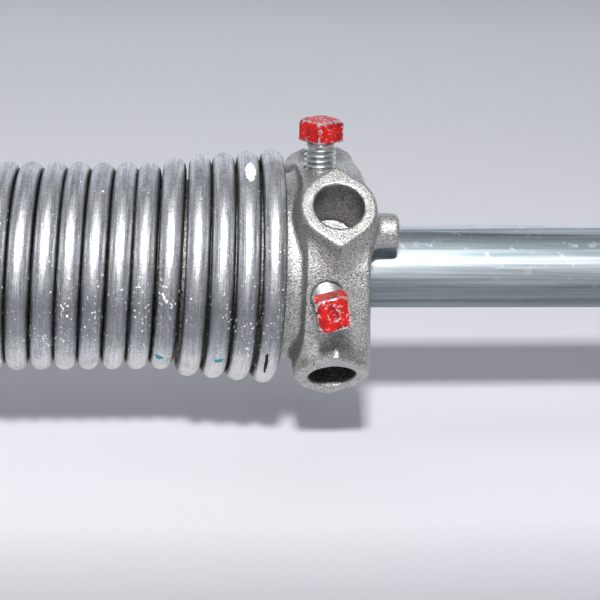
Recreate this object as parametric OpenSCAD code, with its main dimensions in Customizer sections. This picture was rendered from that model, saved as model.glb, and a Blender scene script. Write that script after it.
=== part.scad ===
// Torsion spring assembly for a sectional overhead door: a close-wound wire coil screwed onto
// two cast cones. The winding cone is locked to the torsion tube by two set screws. The
// stationary cone bolts to the wall anchor and carries the tube in a ball bearing.
// X runs along the tube, x = 0 is the stationary cone's mounting face, and the winding bosses
// stand at 45 degrees between the two set screws. Units are millimetres.

/* [Coil] */
// Inside diameter of the coil between the cones
coil_id = 48.7; // [46:0.1:56]
// Diameter of the spring wire
wire_d = 6.93; // [5.5:0.01:7.2]
// Number of turns, those on the cones included
coil_turns = 64; // [16:1:72]
// Air gap between two turns
turn_gap = 0.11; // [0.06:0.01:0.6]
// Turns of wire held by each cone
cone_turns = 4; // [2:1:6]
// Advance of the wire for each turn on a cone
cone_pitch = 7.45; // [7.4:0.05:9]
// How far the innermost turn on a cone is spread, on the radius
thread_rise = 1.9; // [0.5:0.1:3]
// Further spread for each turn towards the cone's big end, on the radius
thread_taper = 0.7; // [0.2:0.05:0.9]

/* [Torsion tube] */
// Outside diameter of the tube
tube_d = 25.4; // [20:0.1:27]
// Wall of the tube
tube_wall = 2; // [1.5:0.1:4]
// Length of tube that stands out past the winding hub
tube_out_hub = 95; // [40:1:300]
// Length of tube that stands out past the mounting face
tube_out_anchor = 40; // [20:1:150]

/* [Winding cone] */
// Distance from the axis to the flat sides of the hub
hub_flat_r = 31; // [29.5:0.5:34]
// Width of the hub along the tube
hub_w = 18.6; // [17:0.2:24]
// Bare collar between the end of the wire and the hub or flange
collar_len = 2; // [1.6:0.1:6]
// Distance from the axis to the face of each winding boss
boss_face_r = 37; // [36:0.5:42]
// Diameter of the winding bosses
boss_d = 21.8; // [19:0.1:22.4]
// How far the point of a boss stands out past its round
boss_point = 2.4; // [0.5:0.1:3]
// Diameter of the winding sockets
socket_d = 14.3; // [12:0.1:15]
// Wall left between a socket's floor and the bore
socket_floor = 3.2; // [2:0.1:5]
// Gap between the tube and the bores of the cones, on the diameter
bore_clearance = 0.5; // [0.2:0.1:1]
// Diameter of the cast peg on the hub's outer side
peg_d = 10; // [6:0.1:11]
// How far the peg stands out from the hub
peg_len = 9.6; // [4:0.2:14]
// Distance from the axis to the peg's centre line
peg_r = 22.6; // [20:0.1:26]

/* [Set screws] */
// Thread diameter of the set screws
screw_d = 9.525; // [8:0.005:10]
// Length of the screws under the head
screw_len = 26.4; // [24:0.1:32]
// Width of the square heads across the flats
screw_head_af = 9.525; // [9:0.005:12]
// Height of the square heads
screw_head_h = 6.7; // [5:0.1:9]
// Distance of the screws from the middle of the hub, towards the coil
screw_offset = 2.8; // [0:0.1:4]

/* [Stationary cone] */
// Thickness of the mounting flange
flange_t = 9; // [7:0.5:14]
// Diameter of the flange's round middle
flange_d = 66; // [62:0.5:72]
// Distance between the two mounting holes
bolt_spacing = 82.5; // [76:0.5:100]
// Diameter of the mounting holes
bolt_hole_d = 10.4; // [9:0.1:12]
// Diameter of the flange's lugs
lug_d = 24; // [20:0.5:30]

/* [Bearing] */
// Wall of each race behind its track
race_wall = 1.6; // [1.2:0.1:2]
// Width of the bearing
bearing_w = 11; // [9:0.5:13]
// Diameter of the bearing balls
ball_d = 6.35; // [5:0.05:7]
// Number of bearing balls
ball_count = 11; // [7:1:13]

/* [Hidden] */
$fn = 64;

// Bosses: angle and the sides that carry a point
bosses = [[45, [-1, 1]], [135, [1]], [225, [-1, 1]], [315, [-1, 1]]];
top_screw_angle = 90;
front_screw_angle = 0;
peg_angle = 45;

// Fits
seat_gap = 0.3;      // coil to cone, and the wire's end to the hub
screw_gap = 0.05;    // screw to its tapped hole, on the radius
race_gap = 0.05;     // race to its seat, on the radius
track_gap = 0.1;     // ball to its track and its pocket, on the radius

// Coil stations: even ones are under the tube, odd ones over it, half a turn apart. Front strands
// rise to the right, which makes the coil left-handed. The wire ends at the back of the tube.
body_r = (coil_id + wire_d) / 2;
body_pitch = wire_d + turn_gap;
halves = 2 * coil_turns - 1;
cone_halves = 2 * cone_turns + 1;
tail_turn = 0.25;    // from the last station to the end of the wire
run_out = 0.75;      // turns in which the wire drops from the cone to the body
weld_trim = 0.2;     // degrees left out of an arc at each weld
weld_len = 0.8;
weld_step = 0.25;    // wire's skin to the weld's, on the radius
cone_run = cone_halves * cone_pitch / 2;
coil_run = 2 * cone_run + (halves - 2 * cone_halves) * body_pitch / 2;

function from_end(k) = min(k, halves - k);
function spread(n) =
    n <= cone_turns ? thread_rise + thread_taper * (cone_turns - n)
                    : thread_rise * max(0, 1 - (n - cone_turns) / run_out);
function station_r(k) = body_r + spread(from_end(k) / 2 + tail_turn);
function station_x(k) =
    k <= cone_halves ? k * cone_pitch / 2
    : k >= halves - cone_halves ? coil_run - (halves - k) * cone_pitch / 2
    : cone_run + (k - cone_halves) * body_pitch / 2;
function station(k) = [station_x(k), (k % 2 == 0 ? -1 : 1) * station_r(k)];

// Places along the tube
tail_run = tail_turn * cone_pitch;
wire_reach = wire_d / 2 + seat_gap;               // from the wire's end to the face beside it
end_run = wire_reach + tail_run;
first_station_x = flange_t + collar_len + end_run;
hub_x = first_station_x + coil_run + end_run + collar_len;
hub_mid = hub_x + hub_w / 2;
screw_x = hub_mid - screw_offset;

// Outside of a cone's neck: the thread's root follows the inside of the spread turns
bore_r = (tube_d + bore_clearance) / 2;
root_big_r = body_r + spread(0) - wire_reach;
root_small_r = root_big_r - thread_taper * cone_turns;
nose_r = coil_id / 2 - seat_gap - 0.7;
nose_start = 0.6;                                 // turns from the thread to the plain nose
nose_end = 1.2;                                   // turns from the thread to the nose's end
nose_chamfer = 1.5;
relief_r = root_big_r - 2.4;                      // the groove between the thread and the hub
relief_slope = 2;
hub_fillet = 2.4;
neck_wall = 4.2;
core_r = nose_r - neck_wall;

// Winding cone
boss_r = boss_d / 2;
boss_point_r = 1.2;                               // rounding of a boss's two points
boss_flare = 1.2;                                 // growth of a boss towards its foot
boss_foot_r = hub_flat_r - 3;
hub_round_r = hub_flat_r + 1.5;                   // radius of the hub's rounded corners
socket_foot_r = bore_r + socket_floor;
peg_round = 1.6;

// Set screws
screw_tip_r = tube_d / 2 + 0.02;
screw_point = 1.5;                                // chamfer of the tip
head_chamfer = 0.6;
neck_d = screw_d - 0.9;                           // thread run-out under the head
neck_len = 1.6;
head_corner_r = screw_head_af * 0.69;             // the head's corners are rounded to this radius
top_head_turn = 45;
front_head_turn = 14;

// Stationary cone and bearing
bearing_x = 0.8;
seat_len = bearing_x + bearing_w;
track_r = ball_d / 2 + track_gap;
race_bore_r = tube_d / 2 + race_gap;
pitch_r = race_bore_r + race_wall + track_r;
bearing_od = 2 * (pitch_r + track_r + race_wall);
seat_r = bearing_od / 2 + race_gap;
land = 1.6;                                       // from the ball circle to each race's face
cage_gap = 0.35;
cage_w = ball_d + 2.2;
bearing_mid = bearing_x + bearing_w / 2;

// Stands a child's Z axis along the tube, pointing right or left
module along_tube(x, side = 1) {
    translate([x, 0, 0]) rotate([0, side * 90, 0]) children();
}

// Points a child's Z axis away from the tube, at an angle above the front
module outward(angle, x) {
    translate([x, 0, 0]) rotate([90 - angle, 0, 0]) children();
}

// An exact arc of wire in the plane through two neighbouring stations and the Y axis. The arcs
// stop just short of each other, and a slightly thinner weld joins them.
module wire_arc(k, from = weld_trim, to = 180 - weld_trim) {
    up = k % 2 == 0 ? 1 : -1;
    a = station(k);
    b = station(k + 1);
    lean = atan2(b[0] - a[0], up * (b[1] - a[1]));
    translate([(a[0] + b[0]) / 2, 0, (a[1] + b[1]) / 2])
        rotate([0, up * lean - 90, 0]) rotate((up > 0 ? 180 : 0) + from)
            rotate_extrude(angle = to - from)
                translate([norm(b - a) / 2, 0]) circle(d = wire_d, $fn = 20);
}

module weld(k) {
    p = station(k);
    translate([p[0], 0, p[1]]) rotate([90, 0, 0])
        cylinder(r = wire_d / 2 - weld_step, h = weld_len, center = true, $fn = 20);
}

module torsion_spring() {
    color("silver") translate([first_station_x, 0, 0]) {
        wire_arc(-1, from = 90);
        for (k = [0 : halves - 1]) wire_arc(k);
        wire_arc(halves, to = 90);
        for (k = [0 : halves]) weld(k);
    }
}

// Half section of a cone's neck. z = 0 is the hub's or flange's face and the nose points down.
function thread_z(n) = -collar_len - wire_reach - n * cone_pitch;
module neck_section() {
    nose_z = thread_z(cone_turns + nose_end);
    fillet = [for (t = [90 : -15 : 0])
        [relief_r + hub_fillet * (1 - sin(t)), -hub_fillet * (1 - cos(t))]];
    polygon(concat(
        [[core_r, nose_z], [nose_r - nose_chamfer, nose_z], [nose_r, nose_z + nose_chamfer],
         [nose_r, thread_z(cone_turns + nose_start)], [root_small_r, thread_z(cone_turns)],
         [root_big_r, thread_z(0)], [relief_r, thread_z(0) + relief_slope]],
        fillet, [[core_r, 0]]));
}

// A boss: a round with a rounded point on each side listed, which flares out to meet the flats
module winding_boss(boss) {
    outward(boss[0], hub_mid) hull()
        for (level = [[boss_face_r - 0.5, 0], [boss_foot_r, boss_flare]])
            translate([0, 0, level[0]]) linear_extrude(0.5) {
                circle(r = boss_r + level[1] / 3, $fn = 72);
                for (side = boss[1])
                    translate([0, side * (boss_r + boss_point - boss_point_r + level[1])])
                        circle(r = boss_point_r, $fn = 24);
            }
}

module winding_socket(angle) {
    outward(angle, hub_mid) translate([0, 0, socket_foot_r])
        cylinder(d = socket_d, h = boss_face_r);
}

module peg() {
    outward(peg_angle, hub_mid + hub_w / 2) translate([0, 0, peg_r]) rotate([0, 90, 0])
        translate([0, 0, -2]) rotate_extrude()
            polygon([[0, 0], [peg_d / 2, 0], [peg_d / 2, peg_len + 2 - peg_round],
                     [peg_d / 2 - 0.3 * peg_round, peg_len + 2 - 0.3 * peg_round],
                     [peg_d / 2 - peg_round, peg_len + 2], [0, peg_len + 2]]);
}

module hub_block() {
    along_tube(hub_x) linear_extrude(hub_w) intersection() {
        square(2 * hub_flat_r, center = true);
        circle(r = hub_round_r);
    }
}

module winding_cone() {
    color("darkgray") difference() {
        union() {
            hub_block();
            along_tube(hub_x) rotate_extrude() neck_section();
            for (boss = bosses) winding_boss(boss);
            peg();
        }
        along_tube(hub_x - 1) cylinder(r = bore_r, h = hub_w + 2);
        for (boss = bosses) winding_socket(boss[0]);
        for (angle = [top_screw_angle, front_screw_angle])
            outward(angle, screw_x) cylinder(r = screw_d / 2 + screw_gap, h = boss_face_r);
    }
}

module set_screw(angle, turn) {
    head_r = screw_tip_r + screw_len;
    color("firebrick") outward(angle, screw_x) {
        translate([0, 0, screw_tip_r]) {
            cylinder(d1 = screw_d - 2 * screw_point, d2 = screw_d, h = screw_point);
            translate([0, 0, screw_point]) cylinder(d = screw_d, h = screw_len - screw_point - neck_len);
            translate([0, 0, screw_point]) cylinder(d = neck_d, h = screw_len);
        }
        translate([0, 0, head_r]) rotate(turn) intersection() {
            translate([-screw_head_af / 2, -screw_head_af / 2, 0])
                cube([screw_head_af, screw_head_af, screw_head_h]);
            cylinder(r = head_corner_r, h = screw_head_h);
            cylinder(r1 = head_corner_r - head_chamfer + screw_head_h, r2 = head_corner_r - head_chamfer,
                     h = screw_head_h);
        }
    }
}

module set_screw_top() { set_screw(top_screw_angle, top_head_turn); }
module set_screw_front() { set_screw(front_screw_angle, front_head_turn); }

module torsion_tube() {
    length = tube_out_anchor + hub_x + hub_w + tube_out_hub;
    color("lightsteelblue") along_tube(-tube_out_anchor) difference() {
        cylinder(d = tube_d, h = length);
        translate([0, 0, -1]) cylinder(d = tube_d - 2 * tube_wall, h = length + 2);
    }
}

module flange() {
    along_tube(0) linear_extrude(flange_t) hull() {
        circle(d = flange_d);
        for (s = [-1, 1]) translate([s * bolt_spacing / 2, 0]) circle(d = lug_d);
    }
}

module stationary_cone() {
    color("darkgray") difference() {
        union() {
            flange();
            along_tube(flange_t, -1) rotate_extrude() neck_section();
        }
        along_tube(-1) cylinder(r = seat_r, h = seat_len + 1);
        along_tube(0) cylinder(r = core_r, h = flange_t + 1);
        for (s = [-1, 1]) translate([-1, 0, s * bolt_spacing / 2]) rotate([0, 90, 0])
            cylinder(d = bolt_hole_d, h = flange_t + 2);
    }
}

module race(from_r, to_r) {
    color("gainsboro") along_tube(bearing_x) difference() {
        cylinder(r = to_r, h = bearing_w);
        translate([0, 0, -1]) cylinder(r = from_r, h = bearing_w + 2);
        translate([0, 0, bearing_w / 2]) rotate_extrude() translate([pitch_r, 0]) circle(r = track_r);
    }
}

module bearing_outer_race() { race(pitch_r + land, bearing_od / 2); }
module bearing_inner_race() { race(race_bore_r, pitch_r - land); }

module ball_ring(r) {
    along_tube(bearing_mid) for (i = [1 : ball_count]) rotate(i * 360 / ball_count)
        translate([pitch_r, 0, 0]) sphere(r = r);
}

module bearing_balls() { color("whitesmoke") ball_ring(ball_d / 2); }

module ball_cage() {
    color("tan") difference() {
        along_tube(bearing_mid - cage_w / 2) cylinder(r = pitch_r + land - cage_gap, h = cage_w);
        along_tube(0) cylinder(r = pitch_r - land + cage_gap, h = bearing_w + 2);
        along_tube(bearing_mid) for (i = [1 : ball_count]) rotate(i * 360 / ball_count)
            rotate([0, 90, 0]) cylinder(r = track_r, h = bearing_od);
    }
}

torsion_spring();
winding_cone();
set_screw_top();
set_screw_front();
torsion_tube();
stationary_cone();
bearing_outer_race();
bearing_inner_race();
bearing_balls();
ball_cage();
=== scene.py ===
"""Looks of a garage door torsion spring: galvanised coil, sandy castings and chipped screws."""

import math

import bpy
import numpy as np
from mathutils import Matrix, Vector


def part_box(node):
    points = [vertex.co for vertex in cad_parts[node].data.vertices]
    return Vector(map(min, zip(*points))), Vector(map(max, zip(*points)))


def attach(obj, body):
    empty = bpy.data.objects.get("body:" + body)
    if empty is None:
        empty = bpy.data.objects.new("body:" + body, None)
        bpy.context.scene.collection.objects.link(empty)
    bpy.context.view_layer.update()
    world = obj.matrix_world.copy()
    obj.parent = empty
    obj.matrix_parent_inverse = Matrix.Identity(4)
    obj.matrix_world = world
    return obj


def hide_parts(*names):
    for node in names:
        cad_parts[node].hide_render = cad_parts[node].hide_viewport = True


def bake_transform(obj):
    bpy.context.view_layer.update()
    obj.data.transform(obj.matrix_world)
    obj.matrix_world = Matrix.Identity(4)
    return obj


MM = 0.001
TAU = 2 * math.pi

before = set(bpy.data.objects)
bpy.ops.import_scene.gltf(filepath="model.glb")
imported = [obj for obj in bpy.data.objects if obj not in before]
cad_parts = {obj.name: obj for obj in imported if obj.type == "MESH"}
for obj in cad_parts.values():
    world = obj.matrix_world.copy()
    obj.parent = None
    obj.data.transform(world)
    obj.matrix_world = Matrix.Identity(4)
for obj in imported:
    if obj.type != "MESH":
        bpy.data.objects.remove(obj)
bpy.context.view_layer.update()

# Sizes in millimetres, the same as the solids have
WIRE_R = 3.465
COIL_R = 27.815  # from the tube's axis to the middle of the wire
TURNS = 64.0
CONE_TURNS = 4.0
CONE_PITCH = 7.45
CONE_RISE = 1.9  # how far the cones' threads hold the wire out
CONE_TAPER = 0.7  # added for each turn towards a cone's big end
COIL_PITCH = 7.04
RUN_OUT = 0.75  # turns in which the wire drops from a cone to the body
HUB_HALF = 9.3
HUB_FLAT = 31.0
HUB_ROUND = 32.6
PEG_OUT = 9.6
PEG_R = 5.0
PEG_UP = 22.6  # from the tube's axis to the peg's
COLLAR = 2.0
WIRE_REACH = WIRE_R + 0.3
BORE_R = 12.95
CORE_R = 19.15
TUBE_R = 12.7
TUBE_WALL = 2.0
BOSS_R = 10.9
BOSS_POINT = 2.4  # how far a boss's points stand past its round
POINT_R = 1.2
BOSS_FACE = 37.0
BOSSES = ((45, (-1, 1)), (135, (1,)), (225, (-1, 1)), (315, (-1, 1)))  # angle, sides with a point
SOCKET_R = 7.15
SOCKET_FOOT = 16.15
FLANGE_T = 9.0
FLANGE_R = 33.0
LUG_R = 12.0
LUG_OUT = 41.25
BOLT_HOLE_R = 5.2
SEAT_R = 22.55
SEAT_DEEP = 11.8
SCREW_BACK = 2.8
SCREW_TIP = TUBE_R + 0.02
SCREW_HOLE_R = 4.78
THREAD_PITCH = 1.5875
THREAD_ROOT_R = 3.6
THREAD_DEEP = 1.25
SHANK_TOP_R = 4.0  # where the thread runs out under the head
HEAD_FOOT = SCREW_TIP + 26.4
HEAD_HALF = 4.9
HEAD_CORNER_R = 6.6

cone_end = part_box("winding_cone")[1][0] / MM
hub_mid = cone_end - PEG_OUT - HUB_HALF
hub_face = hub_mid - HUB_HALF


# ---------------------------------------------------------------- mesh tools


def solid(name, points, quads, fans=()):
    """Mesh from an (n, 3) array in millimetres, an (m, 4) array of corner numbers, and fans, each a
    ring of corner numbers closed onto one middle corner. Faces are turned outwards by the sign of
    the enclosed volume, the sum over triangles of corner . (corner x corner) / 6."""
    loops, counts = [np.asarray(quads).reshape(-1)], [np.full(len(quads), 4)]
    for ring, middle in fans:
        tri = np.stack([ring, np.roll(ring, -1), np.full(len(ring), middle)], 1)
        loops.append(tri.reshape(-1))
        counts.append(np.full(len(tri), 3))
    loops, counts = np.concatenate(loops), np.concatenate(counts)
    starts = np.concatenate([[0], np.cumsum(counts)[:-1]])
    p = np.asarray(points, float) * MM
    a, b, c = p[loops[starts]], p[loops[starts + 1]], p[loops[starts + 2]]
    volume = np.einsum("ij,ij->i", a, np.cross(b, c)).sum()
    four = counts == 4
    d = p[loops[starts[four] + 3]]
    volume += np.einsum("ij,ij->i", a[four], np.cross(c[four], d)).sum()
    if volume < 0:
        ends = starts + counts
        order = np.repeat(starts + ends - 1, counts) - np.arange(len(loops))
        loops = loops[order]
    made = bpy.data.meshes.new(name)
    made.vertices.add(len(p))
    made.vertices.foreach_set("co", p.astype(np.float32).ravel())
    made.loops.add(len(loops))
    made.loops.foreach_set("vertex_index", loops.astype(np.int32))
    made.polygons.add(len(counts))
    made.polygons.foreach_set("loop_start", starts.astype(np.int32))
    made.polygons.foreach_set("loop_total", counts.astype(np.int32))
    made.polygons.foreach_set("use_smooth", np.ones(len(counts), bool))
    made.update(calc_edges=True)
    made.validate()
    piece = bpy.data.objects.new(name, made)
    bpy.context.scene.collection.objects.link(piece)
    return piece


def rows_of(n, m, wrap_n=False):
    """Corner numbers of an n by m grid whose columns wrap round, and whose rows wrap if asked."""
    i = np.arange(n if wrap_n else n - 1)[:, None]
    j = np.arange(m)[None, :]
    k, l = (i + 1) % n, (j + 1) % m
    return np.stack([i * m + j, k * m + j, k * m + l, i * m + l], -1).reshape(-1, 4)


def lathe(name, profile, segments):
    """A closed profile of (place along X, radius) pairs turned about X: (x, r cos a, r sin a)."""
    profile = np.asarray(profile, float)
    a = np.arange(segments) / segments * TAU
    x = np.repeat(profile[:, 0], segments)
    r = np.repeat(profile[:, 1], segments)
    a = np.tile(a, len(profile))
    points = np.stack([x, r * np.cos(a), r * np.sin(a)], 1)
    return solid(name, points, rows_of(len(profile), segments, wrap_n=True))


def crisp(piece, angle=35):
    """Marks edges sharper than the angle, so that machined corners stay sharp in the shading."""
    piece.data.set_sharp_from_angle(angle=math.radians(angle))
    return piece


def skin(name, field, low, high, step):
    """Skin of the solid where field < 0, by surface nets: the field is sampled on a grid, each cell
    that the skin crosses gets one point at the mean of its edge crossings, the points of the four
    cells round a crossed edge make a face, and two Newton steps put every point on the skin."""
    axes = [np.arange(a, b + step, step) for a, b in zip(low, high)]
    grid = np.stack(np.meshgrid(*axes, indexing="ij"), -1).astype(np.float32)
    value = field(grid)
    inside = value < 0
    shape = np.array(value.shape) - 1
    total = np.zeros((*shape, 3), np.float32)
    hits = np.zeros(shape, np.float32)
    faces = []
    number = np.arange(shape.prod()).reshape(shape)
    for axis in range(3):
        one = [slice(None)] * 3
        two = [slice(None)] * 3
        one[axis], two[axis] = slice(None, -1), slice(1, None)
        one, two = tuple(one), tuple(two)
        crossed = inside[one] != inside[two]
        share = value[one] / np.where(crossed, value[one] - value[two], 1)
        place = grid[one].copy()
        place[..., axis] += share * step
        place *= crossed[..., None]
        b, c = [k for k in range(3) if k != axis]
        for db in (0, 1):
            for dc in (0, 1):
                cut = [slice(None)] * 3
                cut[b] = slice(db, db + shape[b])
                cut[c] = slice(dc, dc + shape[c])
                total += place[tuple(cut)]
                hits += crossed[tuple(cut)]
        i = np.argwhere(crossed)
        i = i[(i[:, b] > 0) & (i[:, b] < shape[b]) & (i[:, c] > 0) & (i[:, c] < shape[c])]
        corner = []
        for db, dc in ((-1, -1), (0, -1), (0, 0), (-1, 0)):
            j = i.copy()
            j[:, b] += db
            j[:, c] += dc
            corner.append(number[tuple(j.T)])
        quad = np.stack(corner, 1)
        turned = inside[one][tuple(i.T)] ^ (axis == 1)
        faces.append(np.where(turned[:, None], quad, quad[:, ::-1]))
    faces = np.concatenate(faces)
    used, faces = np.unique(faces, return_inverse=True)
    points = (total.reshape(-1, 3)[used] / hits.reshape(-1, 1)[used]).astype(float)
    e = 0.05
    for _ in range(2):
        slope = np.stack([(field(points + e * u) - field(points - e * u)) / (2 * e)
                          for u in np.eye(3)], -1)
        size = np.maximum((slope**2).sum(-1, keepdims=True), 0.2)
        points -= np.clip(field(points)[:, None] * slope / size, -step / 2, step / 2)
    return solid(name, points, faces.reshape(-1, 4))


def smooth_min(a, b, blend):
    """Lower of two fields, with a fillet as wide as blend: min - (blend - |a - b|)^2 / 4 blend."""
    return np.minimum(a, b) - np.maximum(blend - np.abs(a - b), 0) ** 2 / (4 * blend)


def smooth_max(a, b, blend):
    """Higher of two fields, with the edge rounded by about blend."""
    return -smooth_min(-a, -b, blend)


def ripple(p, wave, seed):
    """Slow unevenness from -1 to 1: the mean of four sines that cross at odd angles."""
    rng = np.random.default_rng(seed)
    waves = rng.normal(size=(4, 3))
    waves *= TAU / wave / np.linalg.norm(waves, axis=1, keepdims=True)
    phase = rng.uniform(0, TAU, 4)
    return sum(np.sin(p @ w + s) for w, s in zip(waves, phase)) / 4


# ---------------------------------------------------------------- materials


def srgb(code):
    """Linear colour of an sRGB hex value."""
    c = [int(code[i : i + 2], 16) / 255 for i in (1, 3, 5)]
    return [v / 12.92 if v <= 0.04045 else ((v + 0.055) / 1.055) ** 2.4 for v in c] + [1.0]


class Finish:
    """One procedural material and its nodes."""

    def __init__(self, name, **sockets):
        self.material = bpy.data.materials.new(name)
        self.material.use_nodes = True
        self.nodes = self.material.node_tree.nodes
        self.shader = self.nodes["Principled BSDF"]
        for key, value in sockets.items():
            self.shader.inputs[key.replace("_", " ")].default_value = value

    def add(self, kind, settings=None, **links):
        """Adds a node, sets its properties, and fills its sockets from values or other outputs."""
        node = self.nodes.new("ShaderNode" + kind)
        for key, value in (settings or {}).items():
            setattr(node, key, value)
        for key, value in links.items():
            name = key.replace("_", " ")
            socket = node.inputs[int(name[2:])] if name.startswith("n ") else node.inputs[name]
            self.feed(socket, value)
        return node

    def feed(self, socket, value):
        if isinstance(value, bpy.types.NodeSocket):
            self.material.node_tree.links.new(value, socket)
        else:
            socket.default_value = value

    def band(self, value, low, high, first=0.0, last=1.0):
        """Value carried from low..high to first..last, and held there beyond."""
        return self.add("MapRange", Value=value, n_1=low, n_2=high, n_3=first, n_4=last).outputs[0]

    def mix(self, share, first, last):
        """Colour between two, by the share of the last."""
        return self.add("Mix", {"data_type": "RGBA"}, n_0=share, n_6=first, n_7=last).outputs[2]

    def dab(self, place, middle, half):
        """1 inside a ragged blob with this middle and these half sizes, and 0 outside it."""
        shift = [-m / h for m, h in zip(middle, half)]
        near = self.add("Mapping", Vector=place, Location=shift, Scale=[1 / h for h in half])
        size = self.add("VectorMath", {"operation": "LENGTH"}, n_0=near.outputs[0]).outputs["Value"]
        rag = self.add("TexNoise", Vector=place, Scale=0.9, Detail=2.0).outputs["Fac"]
        size = self.add("Math", {"operation": "MULTIPLY_ADD"}, n_0=rag, n_1=-0.9, n_2=size)
        return self.band(size.outputs[0], 0.5, 0.58, 1.0, 0.0)

    def set(self, **sockets):
        for key, value in sockets.items():
            self.feed(self.shader.inputs[key.replace("_", " ")], value)
        return self.material


def mesh_points(piece):
    """A piece's corners in millimetres."""
    points = np.empty(len(piece.data.vertices) * 3, np.float32)
    piece.data.vertices.foreach_get("co", points)
    return points.reshape(-1, 3).astype(float) / MM


def paint_points(piece, name, values):
    """Keeps a number, or a row of three, for each corner as an attribute for the finish."""
    values = np.asarray(values, np.float32)
    wide = values.ndim == 2
    layer = piece.data.attributes.new(name, "FLOAT_VECTOR" if wide else "FLOAT", "POINT")
    layer.data.foreach_set("vector" if wide else "value", values.ravel())


# ---------------------------------------------------------------- the coil


def wire_line(n):
    """Centre of the wire n turns from its left end: it starts at the back, runs under the tube and
    up the front, at (x, r cos 2 pi n, -r sin 2 pi n). Pitch and radius change on the cones."""
    near = np.minimum(n, TURNS - n)
    slow = CONE_TURNS + RUN_OUT
    along = CONE_PITCH * np.minimum(n, slow)
    along += COIL_PITCH * np.clip(n - slow, 0, TURNS - 2 * slow)
    along += CONE_PITCH * np.clip(n - (TURNS - slow), 0, None)
    fade = np.clip((slow - near) / RUN_OUT, 0, 1)
    fade = fade * fade * (3 - 2 * fade)
    r = COIL_R + fade * CONE_RISE + CONE_TAPER * np.maximum(CONE_TURNS - near, 0)
    x = FLANGE_T + COLLAR + WIRE_REACH + along
    # the turns on a cone seat unevenly, and those between the cones lean a degree
    seat = np.interp(near, [0, 2, 3, 4, 5], [0.3, 0.3, 0.6, 0.4, 0.0])
    x += np.where(n > TURNS / 2, seat, -seat) + 0.08 * np.sin(n * 2.1)
    z = -r * np.sin(TAU * n)
    x += z * np.interp(near, [0, 1, 4, 7], [-0.02, -0.01, 0.008, 0.024])
    return np.stack([x, r * np.cos(TAU * n), z], -1)


def make_coil(per_turn=72, around=16):
    """A round of radius WIRE_R carried along the wire's line: line + R (cos v, sin v) in the plane
    of the outward direction and its cross product with the line's direction. The attribute "wire"
    holds (length along the wire, R cos v, R sin v) in millimetres, so that the finish keeps to the
    wire when the coil winds, and "under" is 1 at the bottom of each turn and 0 at the top."""
    n = np.linspace(0, TURNS, int(TURNS * per_turn) + 1)
    line = wire_line(n)
    ahead = wire_line(n + 1e-3) - wire_line(n - 1e-3)
    ahead[0], ahead[-1] = ahead[1], ahead[-2]
    ahead /= np.linalg.norm(ahead, axis=1, keepdims=True)
    out = line * [0, 1, 1]
    out -= ahead * (out * ahead).sum(1, keepdims=True)
    out /= np.linalg.norm(out, axis=1, keepdims=True)
    side = np.cross(ahead, out)
    v = np.arange(around) / around * TAU
    ring = np.stack([np.cos(v), np.sin(v)], 1) * WIRE_R
    points = (line[:, None] + out[:, None] * ring[None, :, :1] + side[:, None] * ring[None, :, 1:])
    length = np.concatenate([[0], np.cumsum(np.linalg.norm(np.diff(line, axis=0), axis=1))])
    marks = np.concatenate([np.broadcast_to(length[:, None, None], (len(n), around, 1)),
                            np.broadcast_to(ring[None], (len(n), around, 2))], -1)
    rows, count = len(n), len(n) * around
    flat = np.concatenate([points.reshape(-1, 3), line[[0, -1]]])
    fans = [(np.arange(around), count), (count - 1 - np.arange(around), count + 1)]
    coil = solid("coil", flat, rows_of(rows, around), fans)
    marks = np.concatenate([marks.reshape(-1, 3), [[0, 0, 0], [length[-1], 0, 0]]])
    paint_points(coil, "wire", marks)
    paint_points(coil, "under", 0.5 - flat[:, 2] / 70)
    return coil


# ---------------------------------------------------------------- the castings


def rise(p, angle):
    """(distance outwards, distance sideways) of points from the axis, at this angle above front."""
    c, s = math.cos(math.radians(angle)), math.sin(math.radians(angle))
    return -p[..., 1] * c + p[..., 2] * s, p[..., 1] * s + p[..., 2] * c


def pointed_round(x, t, points):
    """Field of a boss's outline: a round, joined by straight flanks to a small round at each point.
    Beyond the flank's foot the distance is measured square to the flank."""
    d = np.hypot(x, t) - BOSS_R
    reach = BOSS_R + BOSS_POINT - POINT_R
    fall = math.acos((BOSS_R - POINT_R) / reach)
    for side in points:
        u, v = np.abs(x), side * t
        flank = u * math.sin(fall) + v * math.cos(fall) - BOSS_R
        along = -u * math.cos(fall) + v * math.sin(fall)
        tip = np.hypot(u, v - reach) - POINT_R
        edge = np.where(along < reach * math.sin(fall), flank, tip)
        d = np.where((along > 0) & (v > 0), np.minimum(d, edge), d)
    return d


def neck_field(x, rho):
    """Field of a cone's neck: radius against distance from the hub's or flange's face, from the
    chamfered nose over the taper under the wire to the collar."""
    first = -COLLAR - WIRE_REACH
    xs = [first - 38.74, first - 37.24, first - 34.27, first - 29.8, first, first + 2, 6]
    rs = [21.85, 23.35, 23.35, 25.95, 28.75, 28.3, 28.3]
    r = np.interp(x, xs, rs)
    return smooth_max((rho - r) * 0.93, np.maximum(xs[0] - x, x - 5), 1.0)


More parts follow.
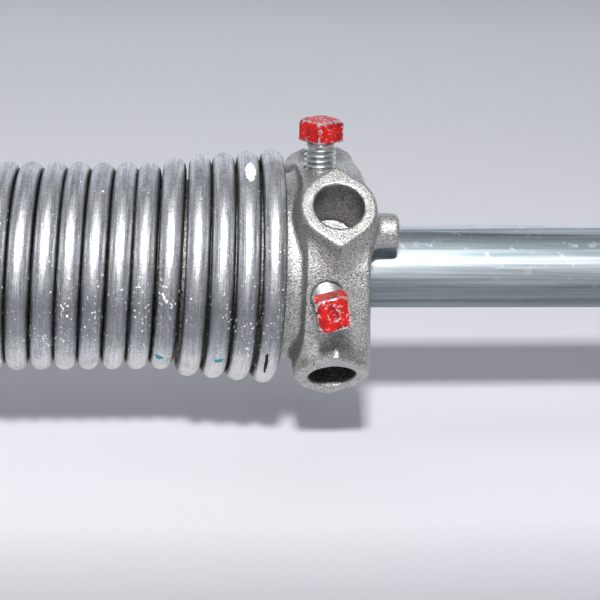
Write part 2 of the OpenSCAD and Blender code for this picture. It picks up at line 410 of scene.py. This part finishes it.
def winding_field(p):
    """Field of the winding cone: square hub with rounded corners, four bosses and the neck, joined
    with wide fillets as a die casting is, less the sockets, the bore and the screw holes."""
    x, y, z = p[..., 0] - hub_mid, p[..., 1], p[..., 2]
    rho = np.hypot(y, z)
    flats = smooth_max(np.abs(y), np.abs(z), 3.0) - HUB_FLAT
    ends = np.abs(x) - HUB_HALF
    hub = smooth_max(smooth_max(flats, rho - HUB_ROUND, 3.0), ends, 1.0)
    for angle, points in BOSSES:
        out, side = rise(p, angle)
        grow = 0.10 * (BOSS_FACE - out)
        boss = smooth_max(pointed_round(x, side, points) - grow, out - BOSS_FACE, 0.9)
        boss = np.maximum(boss, 15 - out)
        hub = smooth_min(hub, boss, 3.8)
    body = smooth_min(hub, neck_field(x + HUB_HALF, rho), 2.4)
    out, side = rise(p, 45)
    peg = np.hypot(out - PEG_UP, side) - PEG_R - 0.03 * (HUB_HALF + PEG_OUT - x)
    peg = smooth_max(peg, x - HUB_HALF - PEG_OUT, 1.4)
    body = smooth_min(body, np.maximum(peg, 6 - x), 2.0)
    body += 0.12 * ripple(p, 17.0, 3) + 0.05 * ripple(p, 5.0, 4)
    for angle, _ in BOSSES:
        out, side = rise(p, angle)
        hole = np.maximum(np.hypot(x, side) - SOCKET_R, SOCKET_FOOT - out)
        body = smooth_max(body, -hole, 0.7)
    for angle in (90, 0):
        out, side = rise(p, angle)
        hole = np.maximum(np.hypot(x + SCREW_BACK, side) - SCREW_HOLE_R, -out)
        body = smooth_max(body, -hole, 0.3)
    core = np.maximum(rho - CORE_R, x + HUB_HALF)
    return np.maximum(body, -np.minimum(rho - BORE_R, core))


def stationary_field(p):
    """Field of the stationary cone: a round flange drawn out to two lugs, and the same neck, less
    the bearing's seat, the core and the two bolt holes."""
    x, y, z = p[..., 0], p[..., 1], p[..., 2]
    rho = np.hypot(y, z)
    u, v = np.abs(y), np.abs(z)
    fall = math.acos((FLANGE_R - LUG_R) / LUG_OUT)
    flank = u * math.sin(fall) + v * math.cos(fall) - FLANGE_R
    along = -u * math.cos(fall) + v * math.sin(fall)
    lug = np.hypot(u, v - LUG_OUT)
    edge = np.where(along < LUG_OUT * math.sin(fall), flank, lug - LUG_R)
    edge = np.where(along < 0, rho - FLANGE_R, edge)
    plate = smooth_max(edge - 0.04 * x, np.abs(x - FLANGE_T / 2) - FLANGE_T / 2, 1.4)
    body = smooth_min(plate, neck_field(FLANGE_T - x, rho), 3.5)
    body += 0.10 * ripple(p, 15.0, 8) * np.clip(x, 0, 1) * np.clip((rho - 24) / 2, 0, 1)
    body = smooth_max(body, -(lug - BOLT_HOLE_R), 0.6)
    seat = np.maximum(rho - SEAT_R, x - SEAT_DEEP)
    return np.maximum(body, -np.minimum(seat, rho - CORE_R))


# ---------------------------------------------------------------- the screws


def make_screw(name, angle, turn, around=96):
    """A square-head set screw as one grid: rows climb from the tip to the top of the head, columns
    go round. The thread's radius is root + depth x (1 - |2 frac(z / pitch - a / 2 pi) - 1|),
    capped for flat crests, and the head's is the square's, half / max(|cos|, |sin|), limited by
    its rounded corners. The attribute "edge" is 1 along the head's edges and falls to 0 away from
    them, and "place" is in millimetres from the head's foot, turned with the head."""
    a = np.arange(around) / around * TAU
    ridges = np.arange(SCREW_TIP + 0.15, HEAD_FOOT - 1.3, 0.125)
    z = np.array([SCREW_TIP, *ridges, HEAD_FOOT - 1.25, HEAD_FOOT - 0.3])
    turns = z[:, None] / THREAD_PITCH - a[None, :] / TAU
    crest = 1 - np.abs(2 * (turns % 1) - 1)
    r = THREAD_ROOT_R + THREAD_DEEP * np.clip(crest * 1.35 - 0.2, 0, 0.9) / 0.9
    point = np.clip((z - SCREW_TIP) / 1.5, 0, 1)[:, None]
    r = np.minimum(r, 3.2 + 1.6 * point)
    fade = np.clip((z - HEAD_FOOT + 1.7) / 0.6, 0, 1)[:, None]
    r = r * (1 - fade) + SHANK_TOP_R * fade
    a_head = a - math.radians(turn)
    square = HEAD_HALF / np.maximum(np.abs(np.cos(a_head)), np.abs(np.sin(a_head)))
    outline = -np.logaddexp(-square * 8, -HEAD_CORNER_R * 8) / 8 + 0.01
    # height, share of the outline, wear of the edge, and the cone that takes off the top's corners
    rows = [(0.0, 0.80, 0.0, 7.0), (0.0, 0.955, 0.6, 7.0), (0.12, 0.985, 1.0, 7.0)]
    rows += [(0.35, 1.0, 1.0, 7.0)] + [(height, 1.0, 0.0, 7.0) for height in (0.9, 1.8, 3.2, 4.6)]
    rows += [(5.3, 1.0, 0.1, 6.7), (5.75, 0.998, 0.4, 6.35), (6.1, 0.985, 1.0, 6.0),
             (6.35, 0.96, 1.0, 5.75), (6.5, 0.925, 0.8, 5.5), (6.6, 0.87, 0.4, 5.2),
             (6.65, 0.8, 0.1, 4.8), (6.68, 0.6, 0.0, 4.0), (6.69, 0.4, 0.0, 3.0),
             (6.69, 0.2, 0.0, 2.0)]
    head_z = HEAD_FOOT + np.array([row[0] for row in rows])
    head_r = np.array([row[1] for row in rows])[:, None] * outline[None, :]
    head_r = np.minimum(head_r, np.array([row[3] for row in rows])[:, None])
    sides = np.array([row[0] < 6.3 for row in rows])[:, None]
    upright = np.exp(-((HEAD_CORNER_R - outline) / 0.3) ** 2)[None, :]
    edge = np.maximum(np.array([row[2] for row in rows])[:, None], 0.8 * upright * sides)
    z = np.concatenate([z, head_z])
    r = np.concatenate([np.broadcast_to(r, (len(r), around)), head_r])
    edge = np.concatenate([np.zeros((len(r) - len(rows), around)), edge])
    side_a, side_b = r * np.cos(a), r * np.sin(a)
    up = np.broadcast_to(z[:, None], r.shape)
    c, s = math.cos(math.radians(angle)), math.sin(math.radians(angle))
    points = np.stack([hub_mid - SCREW_BACK + side_a, side_b * s - up * c, up * s + side_b * c],
                      -1)
    ends = np.array([[hub_mid - SCREW_BACK, -h * c, h * s] for h in (z[0], z[-1])])
    count = r.size
    fans = [(np.arange(around), count), (count - 1 - np.arange(around), count + 1)]
    flat = np.concatenate([points.reshape(-1, 3), ends])
    screw = solid(name, flat, rows_of(len(z), around), fans)
    paint_points(screw, "edge", np.concatenate([edge.ravel(), [0, 0]]))
    place = np.stack([r * np.cos(a_head), r * np.sin(a_head), up - HEAD_FOOT], -1).reshape(-1, 3)
    ends = [[0, 0, z[0] - HEAD_FOOT], [0, 0, z[-1] - HEAD_FOOT]]
    paint_points(screw, "place", np.concatenate([place, ends]))
    return screw


# ---------------------------------------------------------------- finishes


def galvanised_wire():
    """Hard-drawn spring wire with a zinc coat, in the wire's own millimetres (length, outwards,
    sideways): bright, with die marks along the wire, a sugary zinc grain, painted shade below the
    middle and a painted reflection of the floor at the bottom, flecks of white oxide that gather
    low on the turns, dirt and painted shade between the turns with warm dust on it, and four dabs
    where it was marked or hit."""
    f = Finish("galvanised spring wire", Metallic=1.0)
    mark = f.add("Attribute", {"attribute_name": "wire"}).outputs["Vector"]
    under = f.add("Attribute", {"attribute_name": "under"}).outputs["Fac"]
    # die marks 0.4 mm apart and about 13 mm long
    drawn = f.add("Mapping", Vector=mark, Scale=(0.03, 1.0, 1.0))
    lines = f.add("TexNoise", Vector=drawn.outputs[0], Scale=2.6, Detail=3.0, Roughness=0.6)
    # zinc grain 0.5 mm across, smears 6 mm across
    grain = f.add("TexNoise", Vector=mark, Scale=1.9, Detail=3.0, Roughness=0.7)
    smear = f.add("TexNoise", Vector=mark, Scale=0.16, Detail=4.0, Roughness=0.65)
    tone = f.add("Math", {"operation": "ADD"}, n_0=lines.outputs["Fac"], n_1=grain.outputs["Fac"])
    tone = f.band(tone.outputs[0], 0.75, 1.25)
    base = f.mix(tone, srgb("#989CA1"), srgb("#E9EBED"))
    # painted shade on the front below the middle, and a bright painted reflection of the floor at
    # the bottom
    painted_shade_band = f.add("Math", {"operation": "MULTIPLY"}, n_0=f.band(under, 0.42, 0.54, 0.0, 0.6),
                 n_1=f.band(under, 0.66, 0.78, 1.0, 0.0))
    base = f.mix(painted_shade_band.outputs[0], base, srgb("#666A70"))
    # painted reflection: the bottom of each turn made bright, as if it mirrored the lit floor
    base = f.mix(f.band(under, 0.74, 0.86, 0.0, 0.7), base, srgb("#EAE8E2"))
    base = f.mix(f.band(smear.outputs["Fac"], 0.48, 0.75, 0.0, 0.6), base, srgb("#878B92"))
    # dirt and painted shade on the sides that face the next turn, with warm dust on it in places
    apart = f.add("SeparateXYZ", Vector=mark)
    side = f.add("Math", {"operation": "ABSOLUTE"}, n_0=apart.outputs[2])
    patch = f.add("TexNoise", Vector=mark, Scale=0.035, Detail=2.0)
    dust = f.add("Math", {"operation": "MULTIPLY"}, n_0=f.band(side.outputs[0], 2.7, 3.4),
                 n_1=f.band(patch.outputs["Fac"], 0.48, 0.6, 0.0, 0.55))
    # painted shade and dirt: the sides next to the neighbouring turn darkened nearly to black
    base = f.mix(f.band(side.outputs[0], 2.75, 3.35, 0.0, 0.85), base, srgb("#343434"))
    base = f.mix(dust.outputs[0], base, srgb("#8E7256"))
    # flecks 0.3 to 1.2 mm across, most of them low on the turns
    fleck = f.add("TexNoise", Vector=mark, Scale=1.1, Detail=2.0, Roughness=0.6)
    patch = f.add("TexNoise", Vector=mark, Scale=0.11, Detail=2.0)
    fleck = f.add("Math", {"operation": "MULTIPLY_ADD"}, n_0=patch.outputs["Fac"], n_1=0.28,
                  n_2=fleck.outputs["Fac"])
    fleck = f.add("Math", {"operation": "MULTIPLY_ADD"}, n_0=under, n_1=0.10,
                  n_2=fleck.outputs[0])
    white = f.band(fleck.outputs[0], 0.86, 0.88)
    base = f.mix(white, base, srgb("#F2F3F3"))
    # a drop of white paint, two dabs of teal and a dark chip
    drop = f.dab(mark, (11103.4, 3.4, 0.3), (4.4, 3.0, 1.5))
    base = f.mix(drop, base, srgb("#F4F4F2"))
    teal = f.add("Math", {"operation": "MAXIMUM"},
                 n_0=f.dab(mark, (10472.2, 3.1, -1.3), (1.1, 2.0, 1.4)),
                 n_1=f.dab(mark, (10849.9, 3.4, 0.4), (0.9, 2.0, 1.4)))
    base = f.mix(teal.outputs[0], base, srgb("#2E93A8"))
    base = f.mix(f.dab(mark, (11244.8, 3.3, -1.0), (5.0, 2.0, 0.5)), base, srgb("#26262A"))
    painted = f.add("Math", {"operation": "MAXIMUM"}, n_0=white, n_1=drop)
    painted = f.add("Math", {"operation": "MAXIMUM"}, n_0=painted.outputs[0], n_1=teal.outputs[0])
    metal = f.add("Math", {"operation": "SUBTRACT"}, n_0=1.0, n_1=painted.outputs[0])
    rough = f.band(smear.outputs["Fac"], 0.3, 0.7, 0.4, 0.52)
    rough = f.add("Math", {"operation": "MULTIPLY_ADD"}, n_0=painted.outputs[0], n_1=0.3, n_2=rough)
    bump = f.add("Bump", Height=tone, Strength=0.45, Distance=0.0001)
    return f.set(Base_Color=base, Metallic=metal.outputs[0], Roughness=rough.outputs[0],
                 Normal=bump.outputs["Normal"])


def cast_alloy(name, light, dark):
    """Die-cast aluminium as it leaves the die: a dull grey skin with a sandy grain of 0.45 mm that
    sparkles, clouded lighter where it was handled, and darkened by painted shade where the shade
    attribute is 1."""
    f = Finish(name, Metallic=1.0)
    place = f.add("TexCoord").outputs["Object"]
    # grain 0.45 mm across, clouds 5 mm across, painted shade mottled in spots of 0.9 mm
    grain = f.add("TexNoise", Vector=place, Scale=2200.0, Detail=2.0, Roughness=0.7)
    cloud = f.add("TexNoise", Vector=place, Scale=200.0, Detail=5.0, Roughness=0.65)
    base = f.mix(f.band(grain.outputs["Fac"], 0.34, 0.66), srgb(dark), srgb(light))
    base = f.mix(f.band(cloud.outputs["Fac"], 0.38, 0.7, 0.0, 0.25), base, srgb("#D6D5D3"))
    # painted shade: a dark mottled grey laid over the skin in the recesses
    recess_shade = f.add("Attribute", {"attribute_name": "recess_shade"}).outputs["Fac"]
    recess_shade_colour = f.add("TexNoise", Vector=place, Scale=1100.0, Detail=3.0, Roughness=0.8)
    recess_shade_colour = f.mix(f.band(recess_shade_colour.outputs["Fac"], 0.45, 0.65), srgb("#3E3C3A"), srgb("#A5A29E"))
    base = f.mix(f.band(recess_shade, 0.0, 1.0, 0.0, 0.8), base, recess_shade_colour)
    rough = f.band(cloud.outputs["Fac"], 0.3, 0.7, 0.52, 0.42)
    bump = f.add("Bump", Height=grain.outputs["Fac"], Strength=0.75, Distance=0.0003)
    return f.set(Base_Color=base, Roughness=rough, Normal=bump.outputs["Normal"])


def chipped_paint():
    """Red dip paint over a zinc-plated steel head, chipped along the edges, scratched, and rubbed
    through in a ring where the socket has turned on its top. The shank is bare zinc."""
    f = Finish("red paint over zinc plate", Specular_IOR_Level=0.35)
    mark = f.add("Attribute", {"attribute_name": "place"}).outputs["Vector"]
    edge = f.add("Attribute", {"attribute_name": "edge"}).outputs["Fac"]
    apart = f.add("SeparateXYZ", Vector=mark)
    height = apart.outputs[2]
    place = f.add("TexCoord").outputs["Object"]
    chips = f.add("TexNoise", Vector=place, Scale=800.0, Detail=6.0, Roughness=0.7)
    # the rubbed ring is 3.4 mm across, on the top only
    flat = f.add("CombineXYZ", X=apart.outputs[0], Y=apart.outputs[1])
    from_middle = f.add("VectorMath", {"operation": "LENGTH"}, n_0=flat.outputs[0])
    ring = f.add("Math", {"operation": "SUBTRACT"}, n_0=from_middle.outputs["Value"], n_1=1.7)
    ring = f.add("Math", {"operation": "ABSOLUTE"}, n_0=ring.outputs[0])
    ring = f.add("Math", {"operation": "MULTIPLY"},
                 n_0=f.band(ring.outputs[0], 0.1, 0.5, 0.14, 0.0), n_1=f.band(height, 6.45, 6.6))
    wear = f.add("Math", {"operation": "MULTIPLY_ADD"}, n_0=edge, n_1=0.16,
                 n_2=chips.outputs["Fac"])
    wear = f.add("Math", {"operation": "ADD"}, n_0=wear.outputs[0], n_1=ring.outputs[0])
    wear = f.add("Math", {"operation": "ADD"}, n_0=wear.outputs[0],
                 n_1=f.band(height, 6.2, 6.5, 0.0, 0.008))
    # scratches 0.15 mm wide that cross the head askew
    askew = f.add("Mapping", Vector=mark, Rotation=(0.3, 0.5, 0.7), Scale=(0.25, 3.0, 1.0))
    scratch = f.add("TexNoise", Vector=askew.outputs[0], Scale=1.3, Detail=2.0, Roughness=0.5)
    wear = f.add("Math", {"operation": "ADD"}, n_0=wear.outputs[0],
                 n_1=f.band(scratch.outputs["Fac"], 0.62, 0.7, 0.0, 0.08))
    bare = f.add("Math", {"operation": "MAXIMUM"}, n_0=f.band(wear.outputs[0], 0.61, 0.635),
                 n_1=f.band(height, -0.9, -0.2, 1.0, 0.0))
    shade = f.add("TexNoise", Vector=place, Scale=300.0, Detail=4.0, Roughness=0.6)
    red = f.mix(f.band(shade.outputs["Fac"], 0.35, 0.65), srgb("#7C0103"), srgb("#CC0F0B"))
    zinc = f.mix(f.band(chips.outputs["Fac"], 0.4, 0.7), srgb("#A9B0B0"), srgb("#E8EAEA"))
    base = f.mix(bare.outputs[0], red, zinc)
    metal = f.add("Math", {"operation": "MULTIPLY"}, n_0=bare.outputs[0], n_1=0.85)
    bump = f.add("Bump", {"invert": True}, Height=bare.outputs[0], Strength=0.5, Distance=0.0001)
    return f.set(Base_Color=base, Metallic=metal.outputs[0],
                 Roughness=f.band(bare.outputs[0], 0.0, 1.0, 0.45, 0.36),
                 Normal=bump.outputs["Normal"])


def galvanised_tube():
    """Roll-formed galvanised tube: a bluish zinc skin with roll marks and dull streaks along it."""
    f = Finish("galvanised steel tube", Metallic=1.0)
    place = f.add("TexCoord").outputs["Object"]
    # roll marks 1 mm and 6 mm apart, fifty times as long, and stains 3 mm across
    marks = f.add("Mapping", Vector=place, Scale=(0.02, 1.0, 1.0))
    fine = f.add("TexNoise", Vector=marks.outputs[0], Scale=900.0, Detail=4.0, Roughness=0.65)
    broad = f.add("TexNoise", Vector=marks.outputs[0], Scale=170.0, Detail=3.0)
    stain = f.add("TexNoise", Vector=place, Scale=300.0, Detail=6.0, Roughness=0.7)
    base = f.mix(f.band(fine.outputs["Fac"], 0.35, 0.65), srgb("#A9B6BD"), srgb("#EEF4F7"))
    base = f.mix(f.band(broad.outputs["Fac"], 0.52, 0.58, 0.0, 0.55), base, srgb("#5B6D78"))
    base = f.mix(f.band(stain.outputs["Fac"], 0.58, 0.66, 0.0, 0.6), base, srgb("#E6EBEE"))
    # painted shade: the underside darker, from 2 mm above the axis down
    low = f.add("SeparateXYZ", Vector=place)
    base = f.mix(f.band(low.outputs[2], -0.003, 0.002, 0.75, 0.0), base, srgb("#566063"))
    rough = f.band(broad.outputs["Fac"], 0.35, 0.65, 0.34, 0.46)
    bump = f.add("Bump", Height=fine.outputs["Fac"], Strength=0.3, Distance=0.0002)
    return f.set(Base_Color=base, Roughness=rough, Normal=bump.outputs["Normal"])


def ground_steel(name, colour, roughness):
    """Bearing steel: even and bright, with a faint mottle of 0.7 mm from grinding."""
    f = Finish(name, Metallic=1.0, Base_Color=srgb(colour))
    place = f.add("TexCoord").outputs["Object"]
    mottle = f.add("TexNoise", Vector=place, Scale=1500.0, Detail=2.0)
    bump = f.add("Bump", Height=mottle.outputs["Fac"], Strength=0.05, Distance=0.0001)
    return f.set(Roughness=f.band(mottle.outputs["Fac"], 0.3, 0.7, roughness, roughness + 0.08),
                 Normal=bump.outputs["Normal"])


# ---------------------------------------------------------------- the pieces

wire_finish = galvanised_wire()
cast_finish = cast_alloy("die-cast aluminium", "#E2E1DF", "#646260")
paint_finish = chipped_paint()
tube_finish = galvanised_tube()
race_finish = ground_steel("ground bearing steel", "#C4C6C8", 0.22)
ball_finish = ground_steel("polished ball steel", "#DADCDD", 0.08)
cage_finish = ground_steel("zinc-plated cage steel", "#B9B39C", 0.32)


def dress(piece, material, body, node):
    """Gives a piece its finish and its body, and hides the CAD node that it stands for."""
    piece.data.materials.clear()
    piece.data.materials.append(material)
    if body:
        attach(piece, body)
    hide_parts(node)


coil = make_coil()
dress(coil, wire_finish, None, "torsion_spring")
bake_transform(coil)

cone = skin("winding_casting", winding_field, (hub_face - 46, -40, -40), (cone_end + 1.5, 40, 40),
            step=0.66)
# painted shade on the sockets' walls, from 0.4 mm below the face to their floors, and on the neck
# under the wire
place = mesh_points(cone) - (hub_mid, 0, 0)
recess_shade = np.clip((hub_face - COLLAR - 3.5 - hub_mid - place[:, 0]) / 1.5, 0, 1)
for angle, _ in BOSSES:
    out, side = rise(place, angle)
    wall = (np.hypot(place[:, 0], side) < SOCKET_R + 0.25) & (out > SOCKET_FOOT + 0.6)
    recess_shade = np.maximum(recess_shade, wall * np.clip((BOSS_FACE - 0.4 - out) / 1.5, 0, 1))
paint_points(cone, "recess_shade", recess_shade)
dress(cone, cast_finish, "shaft", "winding_cone")
anchor = skin("stationary_casting", stationary_field, (-1.2, -36, -56), (56, 36, 56), step=0.7)
dress(anchor, cast_finish, "anchored", "stationary_cone")

for name, angle, turn in (("set_screw_top", 90, 35), ("set_screw_front", 0, 14)):
    screw = make_screw("square_" + name, angle, turn)
    dress(screw, paint_finish, "shaft", name)

tube_low, tube_high = (corner[0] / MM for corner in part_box("torsion_tube"))
inner = TUBE_R - TUBE_WALL
tube = lathe("tube", [(tube_low, inner + 0.25), (tube_low, TUBE_R - 0.3), (tube_low + 0.3, TUBE_R),
                      (tube_high - 0.3, TUBE_R), (tube_high, TUBE_R - 0.3),
                      (tube_high, inner + 0.25), (tube_high - 0.25, inner),
                      (tube_low + 0.25, inner)], segments=128)
dress(crisp(tube), tube_finish, "shaft", "torsion_tube")

for node, finish in (("bearing_outer_race", race_finish), ("bearing_inner_race", race_finish),
                     ("bearing_balls", ball_finish), ("ball_cage", cage_finish)):
    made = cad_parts[node]
    made.data.materials.clear()
    made.data.materials.append(finish)

# ---------------------------------------------------------------- floor, light and camera

floor_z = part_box("stationary_cone")[0][2] - 6 * MM
floor = bpy.data.meshes.new("floor")
floor.from_pydata([(-6, -6, floor_z), (6, -6, floor_z), (6, 8, floor_z), (-6, 8, floor_z)], [],
                  [(0, 1, 2, 3)])
floor = bpy.data.objects.new("floor", floor)
bpy.context.scene.collection.objects.link(floor)
# a graded paper: pale under the part, paler behind it as painted light on the far floor, and greyer
# from 120 mm in front of it as painted shade
paper = Finish("graded grey paper", Roughness=0.8)
place = paper.add("SeparateXYZ", Vector=paper.add("TexCoord").outputs["Object"])
shade = paper.band(place.outputs[1], -0.12, -0.055, 1.0, 0.0)
far = paper.band(place.outputs[1], 0.12, 0.9)
pale = paper.mix(far, srgb("#D4D4D9"), srgb("#FAFBFF"))
paper.set(Base_Color=paper.mix(shade, pale, srgb("#98999E")))
floor.data.materials.append(paper.material)

# a dim room whose far wall is pale from the bench up to 33 degrees, and fades above that
world = bpy.data.worlds.new("dim room with a pale wall")
bpy.context.scene.world = world
world.use_nodes = True
room = world.node_tree
way = room.nodes.new("ShaderNodeTexCoord").outputs["Generated"]
apart = room.nodes.new("ShaderNodeSeparateXYZ")
room.links.new(way, apart.inputs[0])
shares = []
for socket, low, high, first, last in ((1, -0.05, 0.45, 0.0, 1.0), (2, 0.55, 0.8, 1.0, 0.15)):
    share = room.nodes.new("ShaderNodeMapRange")
    room.links.new(apart.outputs[socket], share.inputs[0])
    for place, value in enumerate((low, high, first, last), 1):
        share.inputs[place].default_value = value
    shares.append(share.outputs[0])
wall = room.nodes.new("ShaderNodeMath")
wall.operation = "MULTIPLY"
glow = room.nodes.new("ShaderNodeMapRange")
for place, socket in enumerate(shares):
    room.links.new(socket, wall.inputs[place])
room.links.new(wall.outputs[0], glow.inputs[0])
glow.inputs[3].default_value, glow.inputs[4].default_value = 0.08, 1.45
back = room.nodes["Background"]
back.inputs[0].default_value = srgb("#D6D9E2")
room.links.new(glow.outputs[0], back.inputs[1])

focus = Vector(((hub_mid - 50) * MM, 0, 0))  # what the lamps face


def lamp(name, azimuth, elevation, distance, width, height, power, colour="#FFFFFF"):
    """A soft box that faces the hub, from an azimuth right of the front and a height above it."""
    a, e = math.radians(azimuth), math.radians(elevation)
    way = Vector((math.sin(a) * math.cos(e), -math.cos(a) * math.cos(e), math.sin(e)))
    data = bpy.data.lights.new(name, "AREA")
    data.shape = "RECTANGLE"
    data.size, data.size_y, data.energy = width, height, power
    data.color = srgb(colour)[:3]
    made = bpy.data.objects.new(name, data)
    made.location = focus + way * distance
    made.rotation_euler = way.to_track_quat("Z", "Y").to_euler()
    bpy.context.scene.collection.objects.link(made)


lamp("key", -5, 40, 1.15, 0.10, 0.10, 18.5)
lamp("front", -5, 10, 1.4, 1.2, 0.5, 0.9)
lamp("overhead", 0, 80, 1.6, 1.6, 0.7, 3.2)

camera = bpy.data.objects.new("camera", bpy.data.cameras.new("camera"))
bpy.context.scene.collection.objects.link(camera)
bpy.context.scene.camera = camera
camera.data.sensor_width = 36.0
camera.data.lens = 88.3
# it stands 448 mm in front of a point on the axis, 17.5 degrees up, and looks a little to the right
aim = Vector(((hub_mid - 55.86) * MM, 0, 0))
distance = 0.4479
lift = Matrix.Rotation(math.radians(-17.457), 3, "X")
yaw, pitch, roll = math.radians(6.136), math.radians(-1.322), math.radians(0.08)
ahead = lift @ Vector((math.sin(yaw) * math.cos(pitch), math.cos(yaw) * math.cos(pitch),
                       math.sin(pitch)))
right = lift @ Vector((math.cos(yaw), -math.sin(yaw), 0))
up = right.cross(ahead)
right, up = (right * math.cos(roll) + up * math.sin(roll),
             up * math.cos(roll) - right * math.sin(roll))
stand = Matrix.Translation(aim + lift @ Vector((0, -distance, 0)))
camera.matrix_world = stand @ Matrix((right, up, -ahead)).transposed().to_4x4()
camera.data.clip_start, camera.data.clip_end = 0.02, 40

bpy.context.scene.view_settings.view_transform = "Standard"
